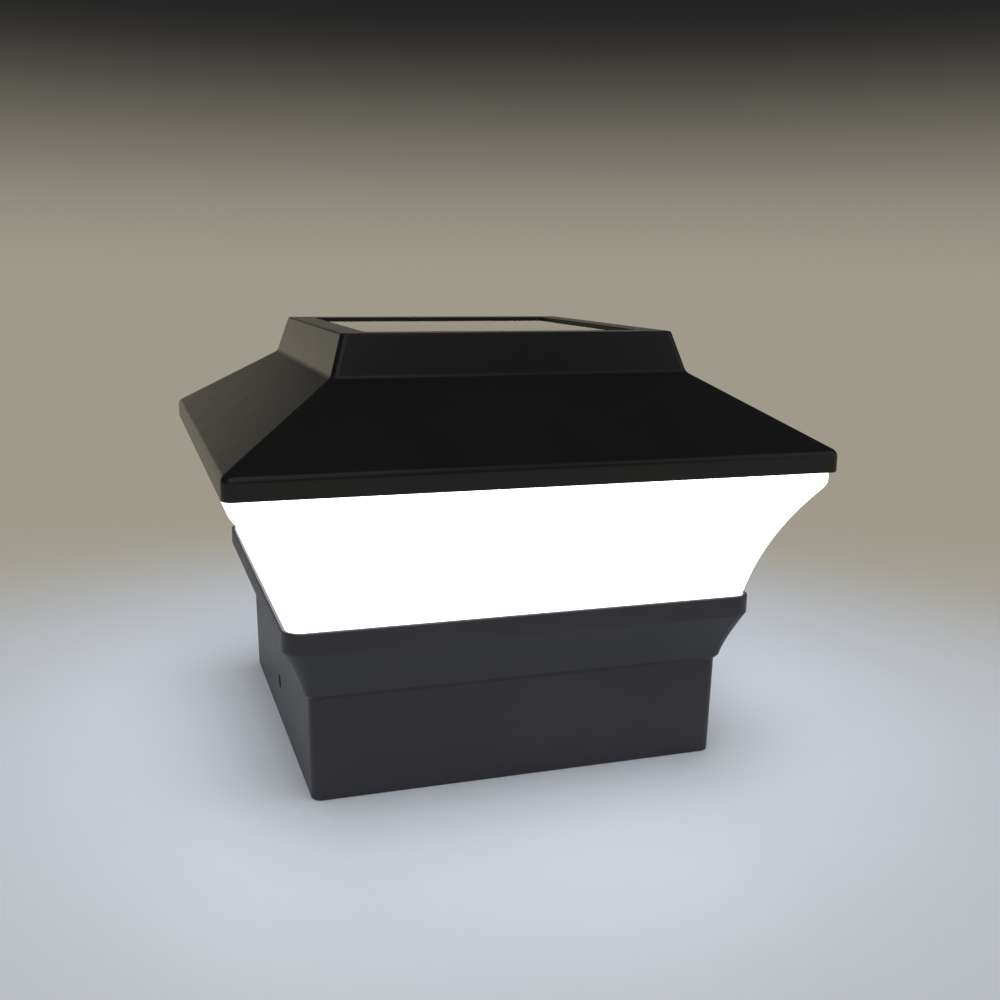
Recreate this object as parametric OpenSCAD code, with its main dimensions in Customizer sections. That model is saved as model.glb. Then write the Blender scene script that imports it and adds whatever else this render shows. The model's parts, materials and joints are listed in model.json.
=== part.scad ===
// Solar deck post cap light for a 4 in post sleeve.
// Origin: centre of the sleeve's bottom edge. +Z up, the photographed front faces -Y.
// A "half" is half of a width, so it is also the distance of a flat side from the centre.

/* [Post sleeve] */
// Width of the post that the cap slides over
post_w = 101.6; // [96:0.1:110]
// Clearance between post and sleeve on each side
post_gap = 1; // [0.5:0.1:2]
// Wall of the sleeve
sleeve_wall = 2.2; // [1.8:0.1:3]
// Height of the sleeve below the step
sleeve_h = 26.3; // [22:0.1:40]
// Draft of the sleeve: how much wider each side gets at the top
sleeve_draft = 0.5; // [0:0.1:1]
// Corner radius of the sleeve
sleeve_corner_r = 2.5; // [2:0.1:4]
// Radius of the screw holes in two sides of the sleeve
side_hole_r = 2; // [1.5:0.1:3]
// Height of the side screw holes
side_hole_z = 12; // [8:0.5:16]

/* [Base] */
// Ledge at the step between sleeve and cove
step_out = 1; // [0.4:0.1:2]
// Height of the sloping ledge
step_h = 1.2; // [0.8:0.1:2]
// How far the cove flares out
cove_out = 5.5; // [4:0.1:8]
// Height of the cove
cove_h = 12.7; // [11:0.1:20]
// Hollowness of the cove, 1 is straight
cove_bow = 1.22; // [1:0.01:1.6]
// Height of the upright lip
lip_h = 4.9; // [4.5:0.1:8]
// Corner radius of the lip
lip_corner_r = 5; // [3:0.1:6]
// Wall of the cove and the lip
cove_wall = 2.3; // [1.8:0.1:2.6]
// Thickness of the floor above the post
floor_t = 2.4; // [2:0.1:4]
// Height of the ribs that stop the post
stop_h = 4; // [4:0.1:6]

/* [Diffuser] */
// Distance from the lip's face in to the diffuser's foot
foot_inset = 1.3; // [1.2:0.1:2]
// Height of the curved part of the diffuser
glow_h = 30; // [24:0.1:40]
// Radius of its hollow curve
glow_r = 77; // [65:1:120]
// Lean of the curve at its foot, in degrees
glow_lean = 11.5; // [6:0.5:16]
// Chamfer between curve and upper band
band_chamfer = 0.7; // [0.3:0.1:1.2]
// Height of the upper band
band_h = 3.6; // [3:0.1:6]
// Wall of the diffuser
glow_wall = 2; // [1.6:0.1:2.4]

/* [Roof] */
// Overhang of the eave beyond the diffuser
eave_out = 1.3; // [1.1:0.1:4]
// Shadow gap between the diffuser's band and the eave
eave_gap = 0.4; // [0.3:0.1:1]
// Height of the eave's upright face
eave_h = 5.1; // [4:0.1:8]
// Rounding where the eave meets the slope
eave_round = 1.6; // [0.6:0.1:2]
// Width of the roof at the knee between slope and plinth
knee_w = 93; // [88:0.5:100]
// Rise of the slope
slope_h = 17.7; // [15:0.1:24]
// Width of the plinth at the top
top_w = 86.6; // [84:0.1:88]
// Height of the plinth
plinth_h = 10.3; // [9:0.1:14]
// Wall of the roof
roof_wall = 2.2; // [1.8:0.1:2.6]

/* [Solar panel] */
// Width of the square solar panel
panel_w = 71.6; // [60:0.1:74]
// Depth of the panel's face below the plinth's top
panel_recess = 0.6; // [0.5:0.1:2]
// Thickness of the clear cover sheet
cover_t = 1; // [0.6:0.1:2]
// Thickness of the cells
cell_t = 0.3; // [0.2:0.05:0.5]
// Number of cell strips
cell_count = 8; // [4:1:10]
// Thickness of the backing board
backing_t = 1.2; // [0.8:0.1:2]
// Thickness of the foam tape under it
tape_t = 0.5; // [0.3:0.1:1]
// Width of the ledge that carries the panel
ledge_w = 4.5; // [3:0.1:6]

/* [Battery] */
// Diameter of the cell
battery_d = 14.2; // [10:0.1:14.5]
// Length of the cell
battery_l = 50; // [44:0.1:51]
// Room for the spring at one end
spring_l = 5; // [4:0.1:6]
// Turns of the contact spring
spring_turns = 4; // [3:1:6]
// Wall of the battery box
box_wall = 1.4; // [1.2:0.1:2]
// Thickness of the battery door
door_t = 1.8; // [1.4:0.1:2]
// Diameter of the hinge pin
hinge_pin_d = 1.6; // [1.2:0.1:1.8]

/* [Circuit board and button] */
// Width of the square circuit board
board_w = 82; // [80:0.5:84]
// Thickness of the circuit board
board_t = 1.6; // [1:0.1:2]
// Diameter of the mode button
button_d = 6; // [5:0.1:8]
// Travel of the mode button
button_travel = 1.5; // [0.5:0.1:2]
// Height of the switch that the button presses
switch_h = 3.6; // [3:0.1:5]
// Thickness of the reflector plate
reflector_t = 1.2; // [0.8:0.1:2]
// Outer diameter of the wires
wire_d = 1.3; // [1:0.1:1.6]

/* [Hidden] */

// Fit and finish
fine = 0.2;          // clearance between fitted flat parts
loose = 0.5;         // clearance round parts that only pass through
running = 0.05;      // radial clearance of pins, screws and the button's stem
weld = 0.6;          // how far a boss or rib reaches into the wall that carries it
edge_r = 0.5;        // small rounding on moulded edges
corner_steps = 5;    // facets of a rounded corner
curve_steps = 10;    // facets of a hollow curve
inner_corner_r = 1;  // smallest corner radius inside a shell
past = 1;            // how far a cutting body reaches past a face
gasket_t = 0.8;
gasket_w = 1.6;
gasket_squeeze = 0.1;

// Halves of the outer shape, from the post outwards
socket_half = post_w / 2 + post_gap;
sleeve_half = socket_half + sleeve_wall;
sleeve_top_half = sleeve_half + sleeve_draft;
cove_half = sleeve_top_half + step_out;
lip_half = cove_half + cove_out;
foot_half = lip_half - foot_inset;
glow_lean_top = asin(sin(glow_lean) + glow_h / glow_r);
glow_half = foot_half + glow_r * (cos(glow_lean) - cos(glow_lean_top));
band_half = glow_half + band_chamfer;
eave_half = band_half + eave_out;
lip_back_half = foot_half + fine;
lip_back_r = lip_corner_r - foot_inset;
knee_half = knee_w / 2;
top_half = top_w / 2;

// Heights of the outer shape
cove_z = sleeve_h + step_h;
lip_z = cove_z + cove_h;
lip_top_z = lip_z + lip_h;
band_z = lip_top_z + glow_h;
band_top_z = band_z + band_h + band_chamfer;
eave_z = band_top_z;
shoulder_z = eave_z + eave_h;
knee_z = shoulder_z + slope_h;
top_z = knee_z + plinth_h;

// Levels inside
floor_z = sleeve_h;
floor_top_z = floor_z + floor_t;
skirt_h = 2.1;                            // the diffuser's skirt inside the lip
seat_w = 2.5;                             // width of the ledge under it
skirt_z = lip_top_z - skirt_h;
seat_z = skirt_z - gasket_t;
seat_half = foot_half - seat_w;
tongue_half = eave_half - roof_wall - fine;
tongue_h = 2.4;                           // the diffuser's tongue inside the eave
tongue_z = eave_z + tongue_h;
bar_z = tongue_z + gasket_t;              // underside of the roof's clamping bar
bar_w = 2.4;
flange_lift = 0.1;                        // gap between the button's flange and the floor
pressed_gap = 0.6;                        // gap left between flange and switch when it is pressed
reflector_rise = 2.6;
button_flange_z = floor_top_z + flange_lift;
button_flange_t = 1;
switch_z = button_flange_z + button_flange_t + button_travel + pressed_gap;
board_z = switch_z + switch_h;
board_top_z = board_z + board_t;
reflector_z = board_top_z + reflector_rise;
panel_half = panel_w / 2;
pocket_half = panel_half + fine;
cover_z = top_z - panel_recess - cover_t;
cells_z = cover_z - cell_t;
backing_z = cells_z - backing_t;
ledge_z = backing_z - tape_t;
ledge_half = pocket_half - ledge_w;

// Screws, all self-tapping pan heads
screw_r = 1.5;
screw_head_r = 2.8;
screw_head_t = 1.8;
screw_hole_r = 1.7;
screw_l = 10;
pilot_r = screw_r + running;
boss_r = 3.6;
pilot_depth = 7.5;
cross_w = 0.9;
cross_l = 3;
cross_depth = 1;

// Four columns in the corners of the base and four bosses in the corners of the roof
column_r = 4.2;
column_at = socket_half - column_r;
counterbore_r = screw_head_r + loose;
column_seat = 4;                          // solid length above the counterbore
roof_boss_in = 16;
roof_boss_at = tongue_half - roof_boss_in;
standoff_r = 3;
standoff_at = board_w / 2 - 1.5 * standoff_r;

// Battery box, closed by the door from below
battery_gap = 0.3;                        // clearance round the cell
room_half_w = battery_d / 2 + battery_gap;
plate_t = 0.4;
room_l = battery_l + spring_l + 2 * plate_t;
room_half_l = room_l / 2;
battery_x = room_half_l - plate_t - battery_l / 2;
battery_z = floor_z + battery_gap + battery_d / 2;
box_half_w = room_half_w + box_wall;
box_half_l = room_half_l + box_wall;
box_roof_z = battery_z + battery_d / 2 + battery_gap;
box_top_z = box_roof_z + box_wall;
box_foot_w = 7;
box_foot_x = room_half_l - 9;
box_screw_y = box_half_w + boss_r;
box_screw_l = 4;
box_boss_h = 2.4;
contact_half_w = 5.5;
contact_h = 11;
contact_z = battery_z - contact_h / 2;
tab_h = 0.5;
tab_y = 4;
tab_z = board_top_z + tab_h;
tab_half_w = 1.2;
tab_l = box_wall + 2.6;                   // how far the solder tab reaches beyond the room

// Battery door: it hinges along -Y and its free edge swings down inside the sleeve
door_gap = 0.6;                           // between floor and door, taken up by the seal
door_z = floor_z - door_gap - door_t;
door_lap = 2.6;
hinge_gap = 0.3;
door_half_l = room_half_l + door_lap;
door_half_w = room_half_w + door_lap;
knuckle_wall = 0.9;
knuckle_r = hinge_pin_d / 2 + knuckle_wall;
hinge_y = -door_half_w - knuckle_r - hinge_gap;
hinge_z = floor_z - knuckle_r - hinge_gap;
knuckle_w = 6;
lug_w = 4;
hinge_x = room_half_l - knuckle_w;
seal_w = 1.4;
seal_deep = 0.8;
seal_in = 0.8;                            // floor left between the opening and the seal's groove
seal_half_l = room_half_l + seal_in + seal_w;
seal_half_w = room_half_w + seal_in + seal_w;
latch_w = 12;
latch_lip = 1;

// Mode button, its switch and the plunger between them
button_y = -28;
button_r = button_d / 2;
button_z = door_z;
button_flange_w = 1.25;
button_flange_r = button_r + button_flange_w;
switch_w = 7;
plunger_r = 1.5;
plunger_in = 1.8;                         // stretch of the plunger inside the switch at rest

// Stop ribs under the floor
rib_t = 2;
rib_l = 10;
rib_at = 30;

// Circuit board parts
led_w = 3.5;
led_l = 2.8;
led_t = 0.7;
led_row_y = 26;
led_row_x = 26;
led_end_in = 4.5;
led_end_x = box_half_l + led_end_in;
chip_x = -14;
parts_y = 17;                             // the chip, choke, capacitor and resistors are in one row
choke_x = 14;
choke_w = 4;
choke_t = 1.2;
capacitor_x = -24;
capacitor_w = 1.6;
capacitor_l = 3.2;
resistor_x = -6;
resistor_pitch = 3;
resistor_w = 1;
resistor_l = 2;
resistor_t = 0.5;
socket_at = [20, 34];
socket_size = [6, 4.6, 4.4];
socket_wall = 0.6;
wire_pitch = 2;
battery_wire_d = 1;

// Routes of the wires, points chosen by hand. The battery route counts X from the box's end and
// Z from its solder tab's top, or from the board at its last point.
plug_h = 6.2;
plug_z = board_top_z + 0.8;
solar_route = [[socket_at[0], socket_at[1], plug_z + plug_h], [20, 34, 48], [20, 33, 56], [18, 30, 66],
    [15, 25, 76], [12, 19, 86], [9, 13, 95], [7, 9, 102], [6, 7, backing_z]];
battery_route = [[1, 4, 0.5], [1, 4.6, 1.2], [1.4, 6, 1.4], [2, 8, 1.5], [2.6, 10, 1.4], [3, 11.4, 1.1], [3, 12, 0]];

// Colours, as photographed
roof_black = "#1a1a1b";
base_black = "#2f2e31";
lit_white = "#f4f7ff";
plain_white = "#eceae4";

// ---- Shapes -------------------------------------------------------------------------------

// A profile is a list of [half, height, corner radius] points
function span(p, q) = sqrt((q[0] - p[0]) ^ 2 + (q[1] - p[1]) ^ 2);
function toward(p, q, d) = p + (q - p) * d / span(p, q);
function bend(p, q, r, d, n = 4) = let(a = toward(q, p, d), b = toward(q, r, d))
    [for (i = [0:n]) let(s = i / n) (1 - s) ^ 2 * a + 2 * s * (1 - s) * q + s ^ 2 * b];
function left(p, q) = [p[1] - q[1], q[0] - p[0]] / span(p, q);
function shifted(p, m, w) = [p[0] + m[0] * w, p[1] + m[1] * w, max(p[2] - w, inner_corner_r)];
function mitre(p, q, r) = let(a = left(p, q), b = left(q, r)) (a + b) / (1 + a * b);
// The path moved to its left by w, for the inside of a wall
function inside(path, w) = let(e = len(path) - 1) [for (i = [0:e])
    shifted(path[i], i == 0 ? left(path[0], path[1]) : i == e ? left(path[e - 1], path[e])
        : mitre(path[i - 1], path[i], path[i + 1]), w)];
function reversed(path) = [for (i = [len(path) - 1:-1:0]) path[i]];

// One rounded square, counterclockwise seen from above
function ring(p) = [for (q = [0:3]) for (i = [0:corner_steps]) let(t = 90 * (q + i / corner_steps))
    [(p[0] - p[2]) * (q == 0 || q == 3 ? 1 : -1) + p[2] * cos(t),
     (p[0] - p[2]) * (q < 2 ? 1 : -1) + p[2] * sin(t), p[1]]];
function quad(j, k, i, m) = [[j * m + i, k * m + i, k * m + (i + 1) % m],
    [j * m + i, k * m + (i + 1) % m, j * m + (i + 1) % m]];

// A closed profile taken round the square: a shell that is open above and below
module shell(profile) {
    m = 4 * (corner_steps + 1);
    n = len(profile);
    polyhedron([for (p = profile) each ring(p)],
        [for (j = [0:n - 1]) for (i = [0:m - 1]) each quad(j, (j + 1) % n, i, m)], convexity = 8);
}

// A profile from bottom to top taken round the square and closed by two flat ends
module block(profile) {
    m = 4 * (corner_steps + 1);
    n = len(profile);
    polyhedron([for (p = profile) each ring(p)],
        [[for (i = [0:m - 1]) i], [for (i = [m - 1:-1:0]) (n - 1) * m + i],
         for (j = [0:n - 2]) for (i = [0:m - 1]) each quad(j, j + 1, i, m)], convexity = 8);
}

// A rounded square or rectangle with true arcs
module pad(half_x, half_y, r) {
    square([2 * half_x, 2 * (half_y - r)], center = true);
    square([2 * (half_x - r), 2 * half_y], center = true);
    for (x = [r - half_x, half_x - r], y = [r - half_y, half_y - r])
        translate([x, y]) circle(r, $fn = 32);
}

module slab(half_x, half_y, r, z, t) {
    translate([0, 0, z]) linear_extrude(t) pad(half_x, half_y, r);
}

module frame_slab(half_x, half_y, w, r, z, t) {
    translate([0, 0, z]) linear_extrude(t) difference() {
        pad(half_x, half_y, r);
        pad(half_x - w, half_y - w, max(r - w, edge_r));
    }
}

module rod(r, z0, z1) {
    translate([0, 0, z0]) cylinder(r = r, h = z1 - z0, $fn = 48);
}

module brick(x0, x1, y0, y1, z0, z1) {
    translate([x0, y0, z0]) cube([x1 - x0, y1 - y0, z1 - z0]);
}

module corners(at) {
    for (q = [0:3])
        rotate([0, 0, 90 * q]) translate([at, at, 0]) children();
}

// A pan head screw whose shank runs up from z, with a cross recess in its head
module screw(z, l) {
    difference() {
        union() {
            rod(screw_r, z, z + l);
            translate([0, 0, z - screw_head_t]) cylinder(r1 = screw_head_r - edge_r,
                r2 = screw_head_r, h = screw_head_t, $fn = 48);
        }
        for (turn = [0, 90])
            rotate([0, 0, turn]) translate([0, 0, z - screw_head_t])
                cube([cross_l, cross_w, 2 * cross_depth], center = true);
    }
}

// A round tube along points, with flat ends square to its first and last run
function run(path, i) = let(e = len(path) - 1, d = path[min(i + 1, e)] - path[max(i - 1, 0)]) d / norm(d);
function across(d, hint) = let(c = cross(d, hint)) c / norm(c);
module tube(path, d, hint, sides = 8, squared = false) {
    e = len(path) - 1;
    polyhedron([for (i = [0:e]) let(t = squared && (i == 0 || i == e) ? [0, 0, sign(run(path, i)[2])] : run(path, i),
            u = across(t, hint), v = cross(t, u))
            for (k = [0:sides - 1]) path[i] + (u * cos(360 * k / sides) + v * sin(360 * k / sides)) * d / 2],
        [[for (k = [sides - 1:-1:0]) k], [for (k = [0:sides - 1]) e * sides + k],
         for (i = [0:e - 1]) for (k = [0:sides - 1]) let(n = (k + 1) % sides)
            each [[i * sides + k, i * sides + n, (i + 1) * sides + n],
                [i * sides + k, (i + 1) * sides + n, (i + 1) * sides + k]]]);
}

// ---- Roof ---------------------------------------------------------------------------------

roof_corner_r = 2.6;
plinth_corner_r = 1.7;
eave_edge = [eave_half, eave_z, roof_corner_r];
shoulder = [eave_half, shoulder_z, roof_corner_r];
knee = [knee_half, knee_z, plinth_corner_r];
plinth_top = [top_half, top_z, plinth_corner_r];
plinth_rim = [top_half - 2, top_z, plinth_corner_r];
roof_face = [eave_edge, each bend(eave_edge, shoulder, knee, eave_round),
    each bend(shoulder, knee, plinth_top, 1, 2)];
roof_back = inside([eave_edge, shoulder, knee, plinth_top], roof_wall);

module roof_shell() {
    ledge_low = ledge_z - roof_wall;
    shell([each roof_face, each bend(knee, plinth_top, plinth_rim, edge_r, 2),
        [pocket_half, top_z, plinth_corner_r], [pocket_half, ledge_z, plinth_corner_r],
        [ledge_half, ledge_z, plinth_corner_r], [ledge_half, ledge_low, plinth_corner_r],
        [knee_half + (top_half - knee_half) * (ledge_low - knee_z) / plinth_h - roof_wall, ledge_low,
            inner_corner_r],
        roof_back[2], roof_back[1], [eave_half - roof_wall, eave_z, inner_corner_r]]);
}

// The bar round the inside of the eave that presses on the gasket
module roof_bar() {
    half = eave_half - roof_wall;
    top = roof_back[1][1];
    shell([[half - bar_w, bar_z, inner_corner_r], [half + weld, bar_z, roof_corner_r],
        [half + weld, top, roof_corner_r], [half - bar_w, top + 2, inner_corner_r]]);
}

module roof_cap() {
    color(roof_black) difference() {
        union() {
            roof_shell();
            roof_bar();
            intersection() {
                corners(roof_boss_at) rod(boss_r, bar_z, knee_z);
                block(inside(roof_face, roof_wall / 2));
            }
        }
        corners(roof_boss_at) rod(pilot_r, bar_z - past, bar_z + pilot_depth);
    }
}

module roof_gasket() {
    color("#3a3a3c") frame_slab(tongue_half - fine, tongue_half - fine, gasket_w, 2, tongue_z, gasket_t);
}

// ---- Solar panel --------------------------------------------------------------------------

module panel_tape() {
    color("#202020") frame_slab(panel_half, panel_half, ledge_w - fine - 0.4, 1.6, ledge_z, tape_t);
}

module panel_backing() {
    color("#1d2a24") slab(panel_half, panel_half, plinth_corner_r, backing_z, backing_t);
}

cell_margin = 2.6;
cell_space = 0.7;
cell_pitch = (panel_w - 2 * cell_margin + cell_space) / cell_count;
ribbon_w = 1.2;
ribbon_off = panel_w / 4;

module cell_row() {
    for (i = [0:cell_count - 1])
        translate([-panel_half + cell_margin + cell_pitch * i, 0, 0]) children();
}

module solar_cells() {
    color("#141a2c") difference() {
        cell_row() brick(0, cell_pitch - cell_space, cell_margin - panel_half, panel_half - cell_margin,
            cells_z, cells_z + cell_t);
        ribbon_slots(0);
    }
}

module ribbon_slots(shrink) {
    for (y = [-ribbon_off, ribbon_off])
        brick(cell_margin - panel_half - past + shrink, panel_half - cell_margin + past - shrink,
            y - ribbon_w / 2, y + ribbon_w / 2, cells_z + cell_t / 2, cells_z + cell_t);
}

module cell_ribbons() {
    color("#b9bbbd") ribbon_slots(past);
}

module panel_cover() {
    color("#8b8b80") slab(panel_half, panel_half, plinth_corner_r, cover_z, cover_t);
}

// ---- Diffuser -----------------------------------------------------------------------------

diffuser_corner_r = 3;
function glow_at(t) = let(s = sin(glow_lean) + glow_h * t / glow_r)
    [foot_half + glow_r * (cos(glow_lean) - sqrt(1 - s * s)), lip_top_z + glow_h * t,
        lip_back_r + (diffuser_corner_r - lip_back_r) * t];
glow_curve = [for (i = [0:curve_steps]) glow_at(i / curve_steps)];
glow_outside = [each glow_curve, [band_half, band_z + 2 * band_chamfer, diffuser_corner_r],
    [band_half + 0.1, band_top_z - eave_gap, diffuser_corner_r]];
glow_inside = inside([each glow_curve, [band_half, band_z + 2 * band_chamfer, diffuser_corner_r],
    [band_half, band_top_z, diffuser_corner_r]], glow_wall);

module diffuser_shell() {
    e = len(glow_outside) - 1;
    foot_inner = glow_inside[0][0];
    tongue_inner = min(glow_inside[e][0], tongue_half - glow_wall);
    shell([[foot_half - fine / 2, skirt_z, lip_back_r], each glow_outside,
        [tongue_half, band_top_z - eave_gap, 2], [tongue_half, tongue_z, 2],
        [tongue_inner, tongue_z, inner_corner_r],
        for (i = [e - 1:-1:0]) [min(glow_inside[i][0], tongue_inner), glow_inside[i][1], inner_corner_r],
        [foot_inner, skirt_z, inner_corner_r]]);
}

// An ear reaches in from the middle of the wall at a corner to a screw boss of the height given
module ear(at, wall_half, z, boss_h) {
    side = boss_r - weld;
    reach = (wall_half - at) * sqrt(2) - side;
    rotate([0, 0, 45]) brick(0, reach, -side, side, z + fine, z + ear_t - fine);
    rod(boss_r, z, z + boss_h);
}

diffuser_boss_h = 9;
ear_t = 2.4;
top_ear_z = tongue_z - fine - ear_t;

module diffuser() {
    color(lit_white) difference() {
        union() {
            diffuser_shell();
            corners(column_at) ear(column_at, foot_half - glow_wall / 2, skirt_z, diffuser_boss_h);
            corners(roof_boss_at) ear(roof_boss_at, tongue_half - glow_wall / 2, top_ear_z, ear_t);
        }
        corners(column_at) rod(pilot_r, skirt_z - past, skirt_z + diffuser_boss_h - past);
        corners(roof_boss_at) rod(screw_hole_r, top_ear_z - past, tongue_z + past);
    }
}

module roof_screws() {
    color("#9b9ca0") corners(roof_boss_at) screw(top_ear_z, screw_l);
}

// ---- Base ---------------------------------------------------------------------------------

sleeve_foot = [sleeve_half, 0, sleeve_corner_r];
sleeve_top = [sleeve_top_half, sleeve_h, sleeve_corner_r];
function cove_at(t) = [cove_half + cove_out * t ^ cove_bow, cove_z + cove_h * t,
    sleeve_corner_r + (lip_corner_r - sleeve_corner_r) * t];
cove_curve = [for (i = [0:curve_steps]) cove_at(i / curve_steps)];
lip_face = [[lip_half, lip_z + edge_r, lip_corner_r], [lip_half, lip_top_z - edge_r, lip_corner_r],
    [lip_half - edge_r, lip_top_z, lip_corner_r - edge_r]];
cove_back = inside(cove_curve, cove_wall);

module base_shell() {
    shell([sleeve_foot, sleeve_top, each cove_curve, each lip_face, [lip_back_half, lip_top_z, lip_back_r],
        [lip_back_half, seat_z, lip_back_r], [seat_half, seat_z, inner_corner_r],
        for (i = [curve_steps - 1:-1:2]) [min(cove_back[i][0], seat_half), cove_back[i][1], inner_corner_r],
        [socket_half + weld, floor_top_z, inner_corner_r], [socket_half, floor_top_z - past, inner_corner_r],
        [socket_half, 0, inner_corner_r]]);
}

module stop_ribs() {
    for (q = [0:3], x = [-rib_at, rib_at])
        rotate([0, 0, 90 * q])
            brick(x - rib_t / 2, x + rib_t / 2, socket_half - rib_l, socket_half + weld,
                floor_z - stop_h, floor_z + weld);
}

module hinge_lugs() {
    for (x = [-1, 1]) {
        x0 = x * (hinge_x + (knuckle_w + lug_w) / 2 + fine);
        translate([x0, hinge_y, 0]) difference() {
            union() {
                brick(-lug_w / 2, lug_w / 2, -knuckle_r, knuckle_r, hinge_z, floor_z + weld);
                translate([-lug_w / 2, 0, hinge_z]) rotate([0, 90, 0])
                    cylinder(r = knuckle_r, h = lug_w, $fn = 48);
            }
            translate([-lug_w, 0, hinge_z]) rotate([0, 90, 0])
                cylinder(r = hinge_pin_d / 2 + running / 2, h = 2 * lug_w, $fn = 48);
        }
    }
}

module base() {
    color(base_black) difference() {
        union() {
            base_shell();
            slab(socket_half + weld, socket_half + weld, inner_corner_r + weld, floor_z, floor_t);
            stop_ribs();
            hinge_lugs();
            corners(column_at) rod(column_r, floor_z, seat_z);
            corners(standoff_at) rod(standoff_r, floor_z + weld, board_z);
            for (x = [-1, 1], y = [-1, 1])
                translate([x * box_foot_x, y * box_screw_y, 0]) rod(standoff_r, floor_z, floor_top_z + box_boss_h);
        }
        // Battery opening and the groove for its seal
        slab(room_half_l, room_half_w, inner_corner_r, floor_z - past, floor_t + 2 * past);
        frame_slab(seal_half_l, seal_half_w, seal_w, 1.6, floor_z - past, past + seal_deep);
        // Counterbored screw holes up the four columns
        corners(column_at) rod(counterbore_r, floor_z - past, seat_z - column_seat);
        corners(column_at) rod(screw_hole_r, floor_z, seat_z + past);
        corners(standoff_at) rod(pilot_r, board_z - pilot_depth, board_z + past);
        for (x = [-1, 1], y = [-1, 1])
            translate([x * box_foot_x, y * box_screw_y, 0])
                rod(pilot_r, floor_top_z + box_boss_h - box_screw_l, floor_top_z + box_boss_h + past);
        // Mode button
        translate([0, button_y, 0]) rod(button_r + running, floor_z - past, floor_top_z + past);
        // Screw holes through two sides of the sleeve
        translate([-lip_half, 0, side_hole_z]) rotate([0, 90, 0])
            cylinder(r = side_hole_r, h = 2 * lip_half, $fn = 48);
    }
}

module base_screws() {
    color("#9b9ca0") corners(column_at) screw(seat_z - column_seat, screw_l);
}

module base_gasket() {
    color("#3a3a3c") frame_slab(foot_half - fine, foot_half - fine, gasket_w, lip_back_r, seat_z, gasket_t);
}

// ---- Circuit board and reflector ----------------------------------------------------------

module circuit_board() {
    color("#e9ebe4") translate([0, 0, board_z]) linear_extrude(board_t) difference() {
        pad(board_w / 2, board_w / 2, 3);
        pad(box_half_l + loose, box_half_w + loose, inner_corner_r);
        corners(standoff_at) circle(screw_hole_r, $fn = 48);
    }
}

module led_places() {
    for (x = [-led_row_x, 0, led_row_x], y = [-led_row_y, led_row_y])
        translate([x, y, board_top_z]) children();
    for (x = [-led_end_x, led_end_x])
        translate([x, 0, board_top_z]) children();
}

module leds() {
    color("#fff3b8") led_places() brick(-led_w / 2, led_w / 2, -led_l / 2, led_l / 2, 0, led_t);
}

module control_chip() {
    color("#18181a") translate([chip_x, parts_y, board_top_z]) {
        brick(-2.5, 2.5, -2, 2, 0.1, 1.2);
        for (x = [-1.9, -0.65, 0.65, 1.9], side = [-1, 1])
            translate([x, side * 2.4, 0]) brick(-0.2, 0.2, -0.6, 0.6, 0, 0.3);
    }
}

// Choke, capacitor and two resistors
module board_parts() {
    color("#b98d4a") translate([0, parts_y, board_top_z]) {
        translate([choke_x, 0, 0]) brick(-choke_w / 2, choke_w / 2, -choke_w / 2, choke_w / 2, 0, choke_t);
        translate([capacitor_x, 0, 0])
            brick(-capacitor_l / 2, capacitor_l / 2, -capacitor_w / 2, capacitor_w / 2, 0, capacitor_w);
        for (x = [resistor_x, resistor_x + resistor_pitch])
            translate([x, 0, 0])
                brick(-resistor_w / 2, resistor_w / 2, -resistor_l / 2, resistor_l / 2, 0, resistor_t);
    }
}

module wire_socket() {
    half_x = socket_size[0] / 2;
    half_y = socket_size[1] / 2;
    color(plain_white) translate([socket_at[0], socket_at[1], board_top_z]) difference() {
        brick(-half_x, half_x, -half_y, half_y, 0, socket_size[2]);
        brick(socket_wall - half_x, half_x - socket_wall, socket_wall - half_y, half_y - socket_wall,
            plug_z - board_top_z, socket_size[2] + past);
    }
}

module wire_plug() {
    half_x = socket_size[0] / 2 - socket_wall - running;
    half_y = socket_size[1] / 2 - socket_wall - running;
    color(plain_white) translate([socket_at[0], socket_at[1], plug_z])
        brick(-half_x, half_x, -half_y, half_y, 0, plug_h);
}

module reflector_plate() {
    half = seat_half - loose;
    color(plain_white) {
        translate([0, 0, reflector_z]) linear_extrude(reflector_t) difference() {
            pad(half, half, 3);
            pad(box_half_l + loose, box_half_w + loose, inner_corner_r);
            corners(column_at) circle(column_r + loose, $fn = 48);
            corners(standoff_at) circle(screw_hole_r, $fn = 48);
            translate(socket_at) square([socket_size[0] + 2 * loose, socket_size[1] + 2 * loose], center = true);
            for (x = [-led_row_x, 0, led_row_x], y = [-led_row_y, led_row_y])
                translate([x, y]) circle(led_w, $fn = 48);
            for (x = [-led_end_x, led_end_x])
                translate([x, 0]) circle(led_w, $fn = 48);
        }
        corners(standoff_at) difference() {
            rod(standoff_r, board_top_z, reflector_z);
            rod(screw_hole_r, board_top_z - past, reflector_z + past);
        }
    }
}

module plate_screws() {
    color("#9b9ca0") corners(standoff_at) translate([0, 0, reflector_z + reflector_t])
        mirror([0, 0, 1]) screw(0, screw_l);
}

module solar_wire(side) {
    tube([for (p = solar_route) p + [side * wire_pitch / 2, 0, 0]], wire_d, [0, 1, 0], squared = true);
}

module solar_wire_red() {
    color("#b3261e") solar_wire(1);
}

module solar_wire_black() {
    color("#1c1c1c") solar_wire(-1);
}

// ---- Battery ------------------------------------------------------------------------------

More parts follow.
